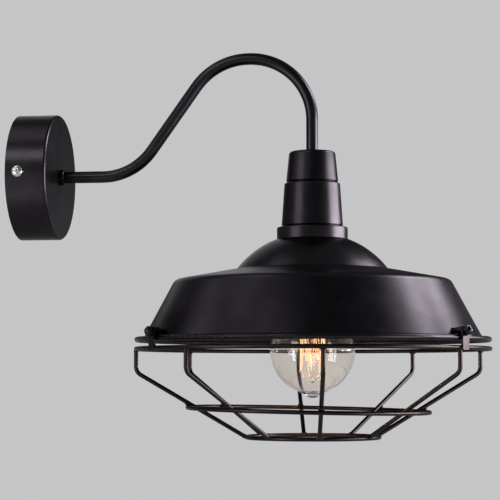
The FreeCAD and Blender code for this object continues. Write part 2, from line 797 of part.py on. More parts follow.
def lampholder():
    sheet_top = "holder_top + holder_cap_sheet"
    holder_cap = turned("holder_cap", [
        ("nipple_radius + thread_gap", "holder_top"), ("holder_radius", "holder_top"),
        ("holder_radius", sheet_top), ("holder_hub_radius", sheet_top),
        ("holder_hub_radius", "holder_top + holder_hub_height"),
        ("nipple_radius + thread_gap", "holder_top + holder_hub_height"),
    ])
    screw_holes = [
        ("0", side + "holder_screw_place", "holder_screw_radius + thread_gap")
        for side in ("", "-")
    ]
    pocket(holder_cap, "XY_Plane", screw_holes)
    on_shade(holder_cap)
    body = turned("holder_body", [
        ("contact_hole", "floor_bottom"), ("shell_radius + fit_gap", "floor_bottom"),
        ("shell_radius + fit_gap", "holder_bottom"), ("holder_radius", "holder_bottom"),
        ("holder_radius", "holder_top"), ("chamber_radius", "holder_top"),
        ("chamber_radius", "chamber_bottom"), ("contact_hole", "chamber_bottom"),
    ])
    rivets = [(side + "post_place", "0", "post_radius + thread_gap") for side in ("", "-")]
    pocket(body, "XY_Plane", rivets)
    top = ("0", "0", "holder_top")
    pocket(body, "XY_Plane", screw_holes, "holder_screw_length", top)
    on_shade(body)
    screws = []
    for index, side in enumerate(("", "-"), 1):
        screw = turned("holder_screw_%d" % index, [
            ("0", "holder_top - holder_screw_length + fit_gap"),
            ("holder_screw_radius", "holder_top - holder_screw_length + fit_gap"),
            ("holder_screw_radius", sheet_top), ("holder_screw_head", sheet_top),
            ("holder_screw_head", sheet_top + " + holder_screw_head_height"),
            ("0", sheet_top + " + holder_screw_head_height"),
        ])
        place(screw, y="-arm_reach + " + side + "holder_screw_place")
        screws.append(screw)
    group("holder_screws", screws)


def holder_metal():
    skin = "shell_radius - shell_sheet"
    on_shade(turned("screw_shell", [
        ("shell_hole_radius", "floor_bottom"), ("shell_radius", "floor_bottom"),
        ("shell_radius", "floor_bottom - shell_length"),
        (skin, "floor_bottom - shell_length"), (skin, "floor_bottom - shell_sheet"),
        ("shell_hole_radius", "floor_bottom - shell_sheet"),
    ]))
    head = "chamber_bottom + post_head_height"
    on_shade(turned("centre_contact", [
        ("0", "contact_bottom"), ("contact_radius", "contact_bottom"),
        ("contact_radius", "floor_bottom"), ("post_radius", "floor_bottom"),
        ("post_radius", "chamber_bottom"), ("post_head_radius", "chamber_bottom"),
        ("post_head_radius", head), ("0", head),
    ]))
    for label, side, foot in (("shell_rivet", "", "floor_bottom"),
                              ("earth_post", "-", "chamber_bottom - earth_post_length")):
        post = turned(label, [
            ("0", foot), ("post_radius", foot), ("post_radius", "chamber_bottom"),
            ("post_head_radius", "chamber_bottom"), ("post_head_radius", head), ("0", head),
        ])
        place(post, x=side + "post_place", y="-arm_reach")
    on_shade(turned("shade_ring", [
        ("holder_radius + thread_gap", "collar_bottom - shade_sheet"),
        ("holder_radius + thread_gap", "collar_bottom - shade_sheet - shade_ring_height"),
        ("shade_ring_radius", "collar_bottom - shade_sheet - shade_ring_height"),
        ("shade_ring_radius", "collar_bottom - shade_sheet"),
    ]))


# ---- shade ----------------------------------------------------------------------------

def under(x, z, before, after):
    """The corner of the sheet's inner face under an outer corner, between two slopes."""
    middle = "((%s) + (%s)) / 2" % (before, after)
    half = "((%s) - (%s)) / 2" % (after, before)
    return ("%s - shade_sheet * sin(%s) / cos(%s)" % (x, middle, half),
            "%s - shade_sheet * cos(%s) / cos(%s)" % (z, middle, half))


def shade():
    start = "dome_slope - dome_half_turn"
    end = "dome_slope + dome_half_turn"
    bore = "holder_radius + fit_gap"
    outer = [
        (bore, "collar_bottom"), ("plate_radius", "collar_bottom", "-dome_bend"),
        ("dome_radius", "dome_bottom"), ("shoulder_radius", "shoulder_bottom"),
        ("skirt_radius", "skirt_bottom"), ("flange_radius", "flange_bottom"),
    ]
    flange_foot = under("flange_radius", "flange_bottom", "flange_slope", "flange_slope")
    crease = under("skirt_radius", "skirt_bottom", "skirt_slope", "flange_slope")
    shoulder = under("shoulder_radius", "shoulder_bottom", "shoulder_slope", "skirt_slope")
    dome_foot = under("dome_radius", "dome_bottom", end, "shoulder_slope")
    plate_edge = under("plate_radius", "collar_bottom", "0", start)
    inner = [
        flange_foot, crease, shoulder, dome_foot + ("dome_bend - shade_sheet",), plate_edge,
        (bore, "collar_bottom - shade_sheet"),
    ]
    body = turned("shade", outer + inner)
    doc.recompute()
    round_bend(body, "shoulder_radius", "shoulder_bottom", "shoulder_edge")
    rim = sketch_on(body, "XZ_Plane")
    circle(rim, "rim_radius", "rim_level", "rim_wire_radius")
    roll = body.newObject("PartDesign::Revolution", "shade_rim")
    roll.Profile = rim
    roll.ReferenceAxis = (rim, ["V_Axis"])
    roll.Angle = 360
    doc.recompute()
    for angle in TAB_ANGLES:
        hole = ("0", "bolt_level", "bolt_radius + bolt_hole_gap")
        pocket(body, "YZ_Plane", [hole], forward=True, turn=angle)
    on_shade(body)


def round_bend(body, radius, level, bend):
    """Round both faces of a turned sheet at the corner near a radius and a level."""
    base = body.Tip
    corners = []
    for index, side in enumerate(base.Shape.Edges, 1):
        if side.Curve.TypeId != "Part::GeomCircle" or len(side.Vertexes) > 1:
            continue
        gap = math.hypot(side.Curve.Radius - value(radius), side.Curve.Center.z - value(level))
        if gap < 3 * value("shade_sheet"):
            corners.append("Edge%d" % index)
    rounding = body.newObject("PartDesign::Fillet", body.Name + "_bend")
    rounding.Base = (base, corners)
    bind(rounding, "Radius", bend)
    doc.recompute()


# ---- bulb -----------------------------------------------------------------------------

def bulb_cap():
    skin = "bulb_shell_radius - bulb_shell_sheet"
    slope_end = "bulb_shell_top - bulb_shell_slope"
    on_shade(turned("bulb_cap", [
        ("bulb_insulator_radius - bulb_shell_sheet", "bulb_shell_top"),
        (skin, slope_end), (skin, "bulb_shell_bottom"),
        ("bulb_shell_radius", "bulb_shell_bottom"), ("bulb_shell_radius", slope_end),
        ("bulb_insulator_radius", "bulb_shell_top"),
    ]))
    on_shade(turned("bulb_insulator", [
        ("0", "bulb_shell_top"), ("bulb_insulator_radius", "bulb_shell_top"),
        ("bulb_tip_radius", "insulator_top"), ("0", "insulator_top"),
    ]))
    on_shade(turned("bulb_contact", [
        ("0", "insulator_top"), ("bulb_tip_radius", "insulator_top"),
        ("bulb_tip_radius - bulb_tip_height / 2", "bulb_top"), ("0", "bulb_top"),
    ]))


def bulb_glass():
    """Neck, globe and tip. The neck runs into the globe through one hollow bend."""
    sheet = "glass_sheet"
    neck_x = "neck_arc_radius * neck_share"
    neck_z = "globe_centre + (neck_arc_centre - globe_centre) * neck_share"
    inner_share = "(globe_radius - glass_sheet) / (globe_radius + bulb_neck_bend)"
    inner_x = "neck_arc_radius * %s" % inner_share
    inner_z = "globe_centre + (neck_arc_centre - globe_centre) * %s" % inner_share
    tip_z = "globe_centre - sqrt(globe_radius^2 - tip_base_radius^2)"
    nose = "bulb_tip_end + tip_nose_bend - sqrt(tip_nose_bend^2 - tip_nose_radius^2)"
    on_shade(turned("bulb_glass", [
        ("bulb_neck_radius", "glass_top"),
        ("bulb_neck_radius - " + sheet, "glass_top"),
        ("bulb_neck_radius - " + sheet, "neck_arc_centre", "bulb_neck_bend + " + sheet),
        (inner_x, inner_z, "-globe_inside"), ("globe_inside", "globe_centre", "-globe_inside"),
        ("0", "globe_centre - globe_inside"), ("0", "bulb_tip_end", "tip_nose_bend"),
        ("tip_nose_radius", nose), ("tip_base_radius", tip_z, "globe_radius"),
        ("globe_radius", "globe_centre", "globe_radius"), (neck_x, neck_z, "-bulb_neck_bend"),
        ("bulb_neck_radius", "neck_arc_centre"),
    ]))


def bulb_mount():
    """The glass stem with its button, the hooks, the filament's strands and the leads."""
    flare = "bulb_neck_radius - glass_sheet - thread_gap"
    flare_z = "glass_top - stem_flare_sheet"
    tube_z = "glass_top - stem_tube_length"
    button = "glass_top - stem_length"
    on_shade(turned("bulb_stem", [
        ("0", "glass_top"), (flare, "glass_top"), (flare, flare_z),
        ("stem_tube_radius", "glass_top - stem_tube_radius"), ("stem_tube_radius", tube_z),
        ("stem_rod_radius", "glass_top - stem_tube_length - stem_tube_radius"),
        ("stem_rod_radius", button), ("stem_button_radius", button + " - stem_rod_radius"),
        ("stem_button_radius", button + " - stem_button_height"),
        ("0", button + " - stem_button_height - stem_rod_radius"),
    ]))
    top_level = value("bulb_top - filament_top_drop")
    top_z = top_level + value("hook_drop")
    bottom_z = value(button + " - stem_button_height / 2")
    top = ring_points(value("filament_top_radius"), top_level, 0)
    low_level = value("bulb_top - filament_bottom_drop")
    low = ring_points(value("filament_bottom_radius"), low_level, 0.5)
    rod = value("stem_rod_radius + hook_wire_radius")
    button_side = value("stem_button_radius + hook_wire_radius")
    top_roots = ring_points(rod, top_z, 0)
    low_roots = ring_points(button_side, bottom_z, 0.5)
    hooks = list(zip(top_roots, top)) + list(zip(low_roots, low))
    on_shade(shaped("bulb_supports", rods(hooks, value("hook_wire_radius"))))
    clear = 3 * value("filament_wire_radius")
    strands = []
    for index in range(STRANDS):
        for foot in (low[index], low[index - 1]):
            along = (foot - top[index]).normalize() * clear
            strands.append((top[index] + along, foot - along))
    on_shade(shaped("bulb_filament", rods(strands, value("filament_wire_radius"))))
    lead = value("lead_wire_radius")
    roots = ring_points(value("stem_tube_radius") + lead, value(tube_z), 0)
    drop = FreeCAD.Vector(0, 0, 2 * lead)
    ends = [(roots[index], top[index] + drop) for index in (0, STRANDS // 2)]
    on_shade(shaped("bulb_leads", rods(ends, lead)))


def ring_points(radius, level, offset):
    """One point for each hook, round the bulb's axis."""
    points = []
    for index in range(STRANDS):
        angle = math.tau * (index + offset) / STRANDS
        points.append(FreeCAD.Vector(radius * math.cos(angle), radius * math.sin(angle), level))
    return points


# ---- guard ----------------------------------------------------------------------------

def guard_ring(label, radius, level, shift="0", lean="0"):
    """A ring of wire, shifted towards the wall and leaning up there."""
    ring = doc.addObject("Part::Torus", label)
    bind(ring, "Radius1", radius)
    bind(ring, "Radius2", "guard_wire_radius")
    place(ring, y="-arm_reach + " + shift, z=level, axis=(1, 0, 0), angle=value(lean))


def guard_rib(index, angle):
    """A bent rib. It leans sideways from its upper end, like a spoke that is a little twisted."""
    body = new_body("cage_rib_%d" % (index + 1))
    slope = "rib_slope"
    path = [
        ("guard_top_radius", "guard_level - guard_wire_radius"),
        ("guard_top_radius", "guard_bend_level + rib_tangent", "-guard_bend"),
        ("guard_top_radius - rib_tangent * cos(%s)" % slope,
         "guard_bend_level - rib_tangent * sin(%s)" % slope),
        ("guard_bottom_radius + guard_wire_radius * cos(%s)" % slope,
         "guard_bottom_level + guard_wire_radius * sin(%s)" % slope),
    ]
    start = ("0", "0", "guard_level - guard_wire_radius")
    section = [("guard_top_radius", "0", "guard_wire_radius")]
    piped(body, "XZ_Plane", path, "XY_Plane", section, start)
    lean = value("rib_lean")
    place(body, x="guard_top_radius * (cos(%s) - cos(%s - rib_lean))" % (angle, angle),
          y="-arm_reach + guard_top_radius * (sin(%s) - sin(%s - rib_lean))" % (angle, angle),
          axis=(0, 0, 1), angle=angle - lean)


def guard_tab(index, angle):
    body = new_body("cage_tab_%d" % (index + 1))
    half = "tab_width / 2"
    low = "bolt_level - tab_bottom"
    high = "bolt_level + tab_top"
    wide = "slot_radius"
    profile = [
        ("-" + half + " + tab_corner", low), (half + " - tab_corner", low, "tab_corner"),
        (half, low + " + tab_corner"), (half, high), (wide, high),
        (wide, "bolt_level", "-slot_radius"), ("0", "bolt_level - slot_radius", "-slot_radius"),
        ("-" + wide, "bolt_level"), ("-" + wide, high), ("-" + half, high),
        ("-" + half, low + " + tab_corner", "tab_corner"),
    ]
    pad(body, "YZ_Plane", [profile], "tab_sheet", ("0", "0", "tab_inside"))
    on_shade(body, angle)


def radial(label, corners, angle):
    """A turned piece on the axis of one guard bolt."""
    body = turned(label, corners, axis="H_Axis", shift=("0", "bolt_level", "0"))
    on_shade(body, angle)
    return body


def guard_bolts():
    end = "cap_seat + bolt_end"
    head = "bolt_head_seat - bolt_head_height"
    bolts = []
    sleeves = []
    nuts = []
    for index, angle in enumerate(TAB_ANGLES, 1):
        bolts.append(radial("guard_bolt_%d" % index, [
            (head, "0"), (end, "0"), (end, "bolt_radius"), ("bolt_head_seat", "bolt_radius"),
            ("bolt_head_seat", "bolt_head_radius"), (head, "bolt_head_radius"),
        ], angle))
        sleeves.append(radial("guard_sleeve_%d" % index, [
            ("shoulder_radius", "bolt_radius + thread_gap"),
            ("guard_nut_seat", "bolt_radius + thread_gap"),
            ("guard_nut_seat", "spacer_radius"), ("shoulder_radius", "spacer_radius"),
        ], angle))
        nuts.append(guard_nut(index, angle))
    group("guard_bolts", bolts)
    group("guard_nuts", nuts)
    skirt = doc.addObject("Part::Cone", "skirt_face")
    bind(skirt, "Radius1", "skirt_radius")
    bind(skirt, "Radius2", "shoulder_radius")
    bind(skirt, "Height", "skirt_drop")
    place(skirt, y="-arm_reach", z="skirt_bottom")
    spacers = doc.addObject("Part::Cut", "guard_spacers")
    spacers.Base = group("guard_sleeves", sleeves)
    spacers.Tool = skirt


def level_hexagon(flats):
    """A hexagon about the bolt's axis, flat side down."""
    return [(x, "%s + bolt_level" % y) for x, y in hexagon(flats)]


def guard_nut(index, angle):
    body = new_body("guard_nut_%d" % index)
    hole = ("0", "bolt_level", "bolt_radius + thread_gap")
    shapes = [level_hexagon("guard_nut_flats"), hole]
    pad(body, "YZ_Plane", shapes, "guard_nut_height", ("0", "0", "guard_nut_seat"))
    on_shade(body, angle)
    return body


def cap_nut(index, angle):
    """A domed nut: a hexagon with a blind bore, and a round cap over the bolt's end."""
    body = new_body("cap_nut_%d" % (index + 1))
    hexagon_shape = [level_hexagon("cap_nut_flats")]
    pad(body, "YZ_Plane", hexagon_shape, "cap_nut_hex", ("0", "0", "cap_seat"))
    revolve(body, [
        ("cap_seat", "0"), ("cap_hex_end + cap_nut_dome_height", "0", "cap_nut_dome"),
        ("cap_hex_end", "cap_dome_foot"), ("cap_seat", "cap_dome_foot"),
    ], axis="H_Axis", shift=("0", "bolt_level", "0"))
    bore = ("0", "bolt_level", "bolt_radius + thread_gap")
    pocket(body, "YZ_Plane", [bore], "cap_nut_bore_depth", ("0", "0", "cap_seat"), forward=True)
    on_shade(body, angle)


# ---- the whole light ------------------------------------------------------------------

NOT_NODES = ("Spreadsheet::Sheet", "Part::Cone")


def nodes():
    """The finished pieces: top objects that no other object uses."""
    found = []
    for item in doc.Objects:
        whole = item.TypeId == "PartDesign::Body" or item.TypeId.startswith("Part::")
        used = [user for user in item.InList if user.TypeId in ("Part::Compound", "Part::Cut")]
        if whole and not used and item.TypeId not in NOT_NODES:
            found.append(item)
    return found


def check():
    """Every object is built, every cut cuts and every piece is whole."""
    for item in doc.Objects:
        if {"Invalid", "Error"} & set(item.State):
            raise RuntimeError("%s did not build: %s" % (item.Label, item.State))
        if item.TypeId == "PartDesign::Pocket":
            if item.Shape.Volume > item.BaseFeature.Shape.Volume - 0.01:
                raise RuntimeError("%s cuts nothing" % item.Label)
    for node in nodes():
        if node.Shape.isNull() or not node.Shape.isValid():
            raise RuntimeError("%s has no valid shape" % node.Label)


def export():
    os.makedirs("parts", exist_ok=True)
    for node in nodes():
        node.Shape.exportStep("parts/%s.step" % node.Label)
        print("%-20s %2d solids %10.1f mm3" % (node.Label, len(node.Shape.Solids),
                                               node.Shape.Volume))


def build():
    make_sheets()
    wall_bracket()
    earth_screw()
    terminal_block()
    terminal_screws()
    canopy()
    canopy_screws()
    wall_joint()
    arm_tube()
    arm_wires()
    neck()
    lampholder()
    holder_metal()
    shade()
    bulb_cap()
    bulb_glass()
    bulb_mount()
    guard_ring("cage_top_ring", "guard_top_radius", "guard_level")
    guard_ring("cage_middle_ring", "guard_middle_radius", "guard_middle_level",
               "guard_middle_shift", "guard_lean")
    guard_ring("cage_bottom_ring", "guard_bottom_radius", "guard_bottom_level")
    for index, angle in enumerate(RIB_ANGLES):
        guard_rib(index, angle)
    guard_bolts()
    for index, angle in enumerate(TAB_ANGLES):
        guard_tab(index, angle)
        cap_nut(index, angle)
    doc.recompute()
    check()
    export()


build()
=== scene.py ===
import json
import math
import bmesh
import bpy
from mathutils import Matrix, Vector, noise


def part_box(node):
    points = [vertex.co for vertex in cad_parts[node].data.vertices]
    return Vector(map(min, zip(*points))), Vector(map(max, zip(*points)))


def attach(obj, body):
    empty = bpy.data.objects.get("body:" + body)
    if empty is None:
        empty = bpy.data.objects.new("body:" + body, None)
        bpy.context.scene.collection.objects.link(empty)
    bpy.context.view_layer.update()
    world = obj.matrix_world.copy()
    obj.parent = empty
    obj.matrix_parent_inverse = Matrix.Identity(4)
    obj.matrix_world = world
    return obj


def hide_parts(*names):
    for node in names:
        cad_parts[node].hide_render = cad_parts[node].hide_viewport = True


# A gooseneck wall light with a stepped shade, a lit globe bulb and a wire guard.
# Lengths are in metres. The shade's axis is upright, at x = 0 and y = SHADE_Y.

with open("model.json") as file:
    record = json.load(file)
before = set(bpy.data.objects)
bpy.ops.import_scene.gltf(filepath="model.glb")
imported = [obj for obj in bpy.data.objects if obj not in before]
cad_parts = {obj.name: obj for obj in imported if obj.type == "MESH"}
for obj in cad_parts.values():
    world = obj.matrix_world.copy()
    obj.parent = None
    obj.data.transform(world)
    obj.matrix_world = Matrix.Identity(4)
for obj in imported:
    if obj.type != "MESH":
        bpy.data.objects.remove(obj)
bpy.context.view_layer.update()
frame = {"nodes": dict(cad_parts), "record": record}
nodes = frame["nodes"]


# ---- helpers ----------------------------------------------------------------------------

def middle(node):
    low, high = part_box(node)
    return (low + high) / 2


def radius_of(node):
    low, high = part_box(node)
    return (high.x - low.x) / 2


SHADE_Y = middle("cage_bottom_ring").y
AXIS = Vector((0, SHADE_Y, 0))
UP = Vector((0, 0, 1))


def outward(angle):
    return Vector((math.cos(angle), math.sin(angle), 0))


def polar(radius, angle, level):
    """A point round the shade's axis."""
    return AXIS + Vector((radius * math.cos(angle), radius * math.sin(angle), level))


def add_object(name, data):
    made = bpy.data.objects.new(name, data)
    bpy.context.scene.collection.objects.link(made)
    return made


def add_node(tree, kind, inputs=None, **settings):
    """A shader node with its own settings and with values for its inputs."""
    node = tree.nodes.new("ShaderNode" + kind)
    for name, value in settings.items():
        setattr(node, name, value)
    for socket, value in (inputs or {}).items():
        node.inputs[socket].default_value = value
    return node


def opaque(colour):
    return (*colour, 1)


def set_ramp(node, levels, colours):
    for element, level, colour in zip(node.color_ramp.elements, levels, colours):
        element.position = level
        element.color = opaque(colour)


# ---- camera, light and floor ------------------------------------------------------------

PHOTO_PIXELS = 500
FOCAL_PIXELS = 1800
SENSOR_MM = 36
CAMERA_PLACE = (-1.677, -0.470, -0.191)
CAMERA_TURN = math.radians(-81.6)
CAMERA_PITCH = math.radians(4.03)


def make_camera():
    data = bpy.data.cameras.new("camera")
    data.sensor_width = SENSOR_MM
    data.lens = FOCAL_PIXELS / PHOTO_PIXELS * SENSOR_MM
    camera = add_object("camera", data)
    camera.location = CAMERA_PLACE
    camera.rotation_euler = (math.pi / 2 + CAMERA_PITCH, 0, CAMERA_TURN)
    bpy.context.scene.camera = camera


WORLD_SEEN = (0.56, 0.56, 0.57)
WORLD_DIM = (0.06, 0.06, 0.065)
DIM_FROM = 0.0
DIM_FULLY = 0.15
WORLD_LIGHT = 0.42


def make_world():
    """Pale to the camera and through glass, but dim in gloss above the horizon.

    All other rays meet a fainter grey, which lights what isn't glossy.
    """
    world = bpy.data.worlds.new("studio")
    bpy.context.scene.world = world
    world.use_nodes = True
    tree = world.node_tree
    tree.nodes.clear()
    path = add_node(tree, "LightPath")
    place = add_node(tree, "TexCoord")
    split = add_node(tree, "SeparateXYZ")
    height = add_node(tree, "Math", operation="MULTIPLY")
    fade = add_node(tree, "ValToRGB")
    set_ramp(fade, (DIM_FROM, DIM_FULLY), (WORLD_SEEN, WORLD_DIM))
    seen = add_node(tree, "Background")
    light = add_node(tree, "Background", {"Strength": WORLD_LIGHT})
    camera_or_gloss = add_node(tree, "Math", operation="MAXIMUM")
    any_sight = add_node(tree, "Math", operation="MAXIMUM")
    mix = add_node(tree, "MixShader")
    output = add_node(tree, "OutputWorld")
    link = tree.links.new
    link(place.outputs["Generated"], split.inputs[0])
    link(split.outputs["Z"], height.inputs[0])
    link(path.outputs["Is Glossy Ray"], height.inputs[1])
    link(height.outputs[0], fade.inputs["Fac"])
    link(fade.outputs["Color"], seen.inputs["Color"])
    link(path.outputs["Is Camera Ray"], camera_or_gloss.inputs[0])
    link(path.outputs["Is Glossy Ray"], camera_or_gloss.inputs[1])
    link(camera_or_gloss.outputs[0], any_sight.inputs[0])
    link(path.outputs["Is Transmission Ray"], any_sight.inputs[1])
    link(any_sight.outputs[0], mix.inputs["Fac"])
    link(light.outputs[0], mix.inputs[1])
    link(seen.outputs[0], mix.inputs[2])
    link(mix.outputs[0], output.inputs["Surface"])


LIGHT_AIM = Vector((0, -0.25, -0.12))
TO_CAMERA = CAMERA_TURN - math.pi / 2

# Each softbox has a direction from LIGHT_AIM, in degrees to the right of the camera and above
# the horizon, then its distance, width, height and brightness, where 1 is white.
SOFTBOXES = {
    "key": (96, 7.5, 1.5, 1.35, 0.54, 23),
    "high_key": (119, 33, 1.5, 0.45, 0.45, 21),
    "high_side": (101, 42, 1.5, 0.5, 0.45, 22),
    "left": (-57, 6, 1.5, 0.8, 1.0, 2.8),
    "high_left": (-86, 58, 1.6, 0.9, 0.7, 1.2),
    "far_left": (-92, 31, 1.6, 0.6, 0.5, 1.7),
    "front": (-33, 37, 1.85, 0.9, 0.4, 4.6),
    "back": (200, 30, 1.6, 1.0, 1.0, 0.9),
    "top": (180, 80, 1.8, 2.2, 2.2, 0.15),
    "low_right": (54, -16, 0.9, 0.34, 0.36, 5),
    "low_left": (-53, -16, 0.9, 0.14, 0.36, 6),
}
SOFTBOX_COLOUR = (1.0, 0.95, 0.99)


def make_softboxes():
    for name, (turn, rise, distance, width, height, brightness) in SOFTBOXES.items():
        data = bpy.data.lights.new(name + "_light", "AREA")
        data.shape = "RECTANGLE"
        data.size = width
        data.size_y = height
        data.energy = brightness * math.pi * width * height
        data.color = SOFTBOX_COLOUR
        angle = TO_CAMERA + math.radians(turn)
        level = math.radians(rise)
        away = Vector((math.cos(level) * math.cos(angle), math.cos(level) * math.sin(angle),
                       math.sin(level)))
        lamp = add_object(data.name, data)
        lamp.location = LIGHT_AIM + away * distance
        lamp.rotation_euler = (-away).to_track_quat("-Z", "Y").to_euler()
        lamp.visible_camera = False


FLOOR_LEVEL = -0.62
FLOOR_RADIUS = 1.5
FLOOR_CORNERS = 96
FLOOR_FADES_FROM = FLOOR_RADIUS * 0.3
FLOOR_GONE_AT = FLOOR_RADIUS * 0.98
FLOOR_COLOUR = (0.30, 0.30, 0.305)


def floor_material():
    material = bpy.data.materials.new("pale_floor")
    material.use_nodes = True
    tree = material.node_tree
    tree.nodes.clear()
    place = add_node(tree, "TexCoord")
    length = add_node(tree, "VectorMath", operation="LENGTH")
    fade = add_node(tree, "MapRange", {"From Min": FLOOR_FADES_FROM, "From Max": FLOOR_GONE_AT})
    side = add_node(tree, "NewGeometry")
    share = add_node(tree, "Math", operation="MAXIMUM")
    surface = add_node(tree, "BsdfDiffuse", {"Color": opaque(FLOOR_COLOUR)})
    clear = add_node(tree, "BsdfTransparent")
    mix = add_node(tree, "MixShader")
    output = add_node(tree, "OutputMaterial")
    link = tree.links.new
    link(place.outputs["Object"], length.inputs[0])
    link(length.outputs["Value"], fade.inputs["Value"])
    link(fade.outputs["Result"], share.inputs[0])
    link(side.outputs["Backfacing"], share.inputs[1])
    link(share.outputs[0], mix.inputs["Fac"])
    link(surface.outputs[0], mix.inputs[1])
    link(clear.outputs[0], mix.inputs[2])
    link(mix.outputs[0], output.inputs["Surface"])
    return material


def make_floor():
    """A pale disc that fades out into the background at its edge and isn't seen from below."""
    mesh = bpy.data.meshes.new("floor")
    shape = bmesh.new()
    bmesh.ops.create_circle(shape, cap_ends=True, segments=FLOOR_CORNERS, radius=FLOOR_RADIUS)
    shape.to_mesh(mesh)
    shape.free()
    mesh.materials.append(floor_material())
    floor = add_object("floor", mesh)
    floor.location = (0, SHADE_Y / 2, FLOOR_LEVEL)


# ---- materials --------------------------------------------------------------------------

# A noise is given by its scale and detail, and a relief by its height and strength.
# Where a noise blends two values, it starts at the first and ends at the second of two shares.
COLOUR_SHARES = (0.35, 0.65)
GLOSS_SHARES = (0.3, 0.7)


class Finish:
    """A material made of one surface shader, whose nodes are added a step at a time."""

    def __init__(self, name, colour, metallic=0):
        self.material = bpy.data.materials.new(name)
        self.material.use_nodes = True
        self.tree = self.material.node_tree
        self.surface = self.tree.nodes["Principled BSDF"]
        self.colour = colour
        self.set("Base Color", opaque(colour))
        self.set("Metallic", metallic)
        self.place = self.add("TexCoord").outputs["Object"]
        self.bump = None

    def add(self, kind, inputs=None, **settings):
        return add_node(self.tree, kind, inputs, **settings)

    def set(self, socket, value):
        self.surface.inputs[socket].default_value = value

    def link(self, source, target):
        self.tree.links.new(source, target)

    def drive(self, socket, source):
        self.link(source, self.surface.inputs[socket])

    def noise(self, scale, detail, place=None):
        """Noise over the piece's own place, or over another one."""
        node = self.add("TexNoise", {"Scale": scale, "Detail": detail})
        self.link(self.place if place is None else place, node.inputs["Vector"])
        return node.outputs["Fac"]

    def cells(self, scale):
        node = self.add("TexVoronoi", {"Scale": scale})
        self.link(self.place, node.inputs["Vector"])
        return node.outputs["Distance"]

    def stripes(self, scale, distortion):
        node = self.add("TexWave", {"Scale": scale, "Distortion": distortion},
                        bands_direction="DIAGONAL")
        self.link(self.place, node.inputs["Vector"])
        return node.outputs["Fac"]

    def stretched_place(self, scale):
        node = self.add("Mapping", {"Scale": scale})
        self.link(self.place, node.inputs["Vector"])
        return node.outputs["Vector"]

    def spun_place(self):
        """Distance from the shade's axis and height, for marks that run round the axis."""
        flat = self.add("VectorMath", {1: (1, 1, 0), 2: (0, -SHADE_Y, 0)},
                        operation="MULTIPLY_ADD")
        away = self.add("VectorMath", operation="LENGTH")
        split = self.add("SeparateXYZ")
        join = self.add("CombineXYZ")
        self.link(self.place, flat.inputs[0])
        self.link(flat.outputs[0], away.inputs[0])
        self.link(self.place, split.inputs[0])
        self.link(away.outputs["Value"], join.inputs["X"])
        self.link(split.outputs["Z"], join.inputs["Y"])
        return join.outputs[0]

    def spread(self, source, low, high, start, end):
        """A value that goes from low to high while the source goes from start to end."""
        node = self.add("MapRange", {"From Min": start, "From Max": end,
                                     "To Min": low, "To Max": high})
        self.link(source, node.inputs["Value"])
        return node.outputs["Result"]

    def blend(self, source, first, second, shares=COLOUR_SHARES):
        """A colour that goes from the first to the second one, by the source."""
        node = self.add("ValToRGB")
        set_ramp(node, shares, (first, second))
        self.link(source, node.inputs["Fac"])
        return node.outputs["Color"]

    def vary_colour(self, source, other, shares=COLOUR_SHARES):
        colour = self.blend(source, self.colour, other, shares)
        self.drive("Base Color", colour)
        return colour

    def vary_roughness(self, source, low, high):
        self.drive("Roughness", self.spread(source, low, high, *GLOSS_SHARES))

    def paint_shade_below(self, colour, level, edge, share):
        """Painted shade: scale the colour down to a share below a height, with a soft edge
        above it.
        """
        split = self.add("SeparateXYZ")
        self.link(self.place, split.inputs[0])
        kept = self.spread(split.outputs["Z"], share, 1, level, level + edge)
        scale = self.add("VectorMath", operation="SCALE")
        self.link(colour, scale.inputs[0])
        self.link(kept, scale.inputs["Scale"])
        self.drive("Base Color", scale.outputs[0])

    def raise_by(self, source, height, strength):
        """Bump of a height in metres, on top of any bump already there."""
        node = self.add("Bump", {"Distance": height, "Strength": strength})
        self.link(source, node.inputs["Height"])
        if self.bump is not None:
            self.link(self.bump, node.inputs["Normal"])
        self.bump = node.outputs["Normal"]
        self.drive("Normal", self.bump)


PAINT_BLACK = (0.0252, 0.0234, 0.0264)
PAINT_WORN = (0.031, 0.029, 0.0322)
PAINT_ROUGHNESS = (0.27, 0.33)
GUARD_BLACK = (0.0245, 0.0205, 0.0204)
GUARD_WORN = (0.0305, 0.0258, 0.0256)
GUARD_ROUGHNESS = (0.28, 0.38)
PAINT_EDGE = (0.55, 0.55, 0.55)
PAINT_CLOUDS = (38, 4)
PAINT_GLOSS = (55, 5)
FINE_GRAIN, FINE_RELIEF = (1500, 2), (0.00002, 0.35)
ORANGE_PEEL, PEEL_RELIEF = (420, 2), (0.00004, 0.3)
SPIN_MARKS, SPIN_RELIEF = (420, 2), (0.00005, 0.3)
# Painted shade in the groove at the foot of each tier of the neck: the groove's height, the
# soft edge above it and the share of the colour that is kept.
GROOVE_HEIGHT = 0.002
GROOVE_EDGE = 0.0001
GROOVE_SHADE_SHARE = 0.12


def paint(name, colours=(PAINT_BLACK, PAINT_WORN), roughness=PAINT_ROUGHNESS, spun=False,
          shaded_groove_node=None):
    """Satin black powder coat: a fine orange peel, cloudy gloss and faint wear.

    It is shaded as a very dark metal, whose gloss can be held back at a glancing angle.
    Painted shade darkens the colour in the groove at the foot of a given node.
    """
    black, worn = colours
    finish = Finish(name, black, metallic=1)
    finish.set("Specular Tint", opaque(PAINT_EDGE))
    colour = finish.vary_colour(finish.noise(*PAINT_CLOUDS), worn)
    # Painted shade: the colour is darker in the groove at the node's foot.
    if shaded_groove_node:
        groove_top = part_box(shaded_groove_node)[0].z + GROOVE_HEIGHT
        finish.paint_shade_below(colour, groove_top, GROOVE_EDGE, GROOVE_SHADE_SHARE)
    finish.vary_roughness(finish.noise(*PAINT_GLOSS), *roughness)
    finish.raise_by(finish.noise(*FINE_GRAIN), *FINE_RELIEF)
    finish.raise_by(finish.noise(*ORANGE_PEEL), *PEEL_RELIEF)
    if spun:
        finish.raise_by(finish.noise(*SPIN_MARKS, finish.spun_place()), *SPIN_RELIEF)
    return finish.material


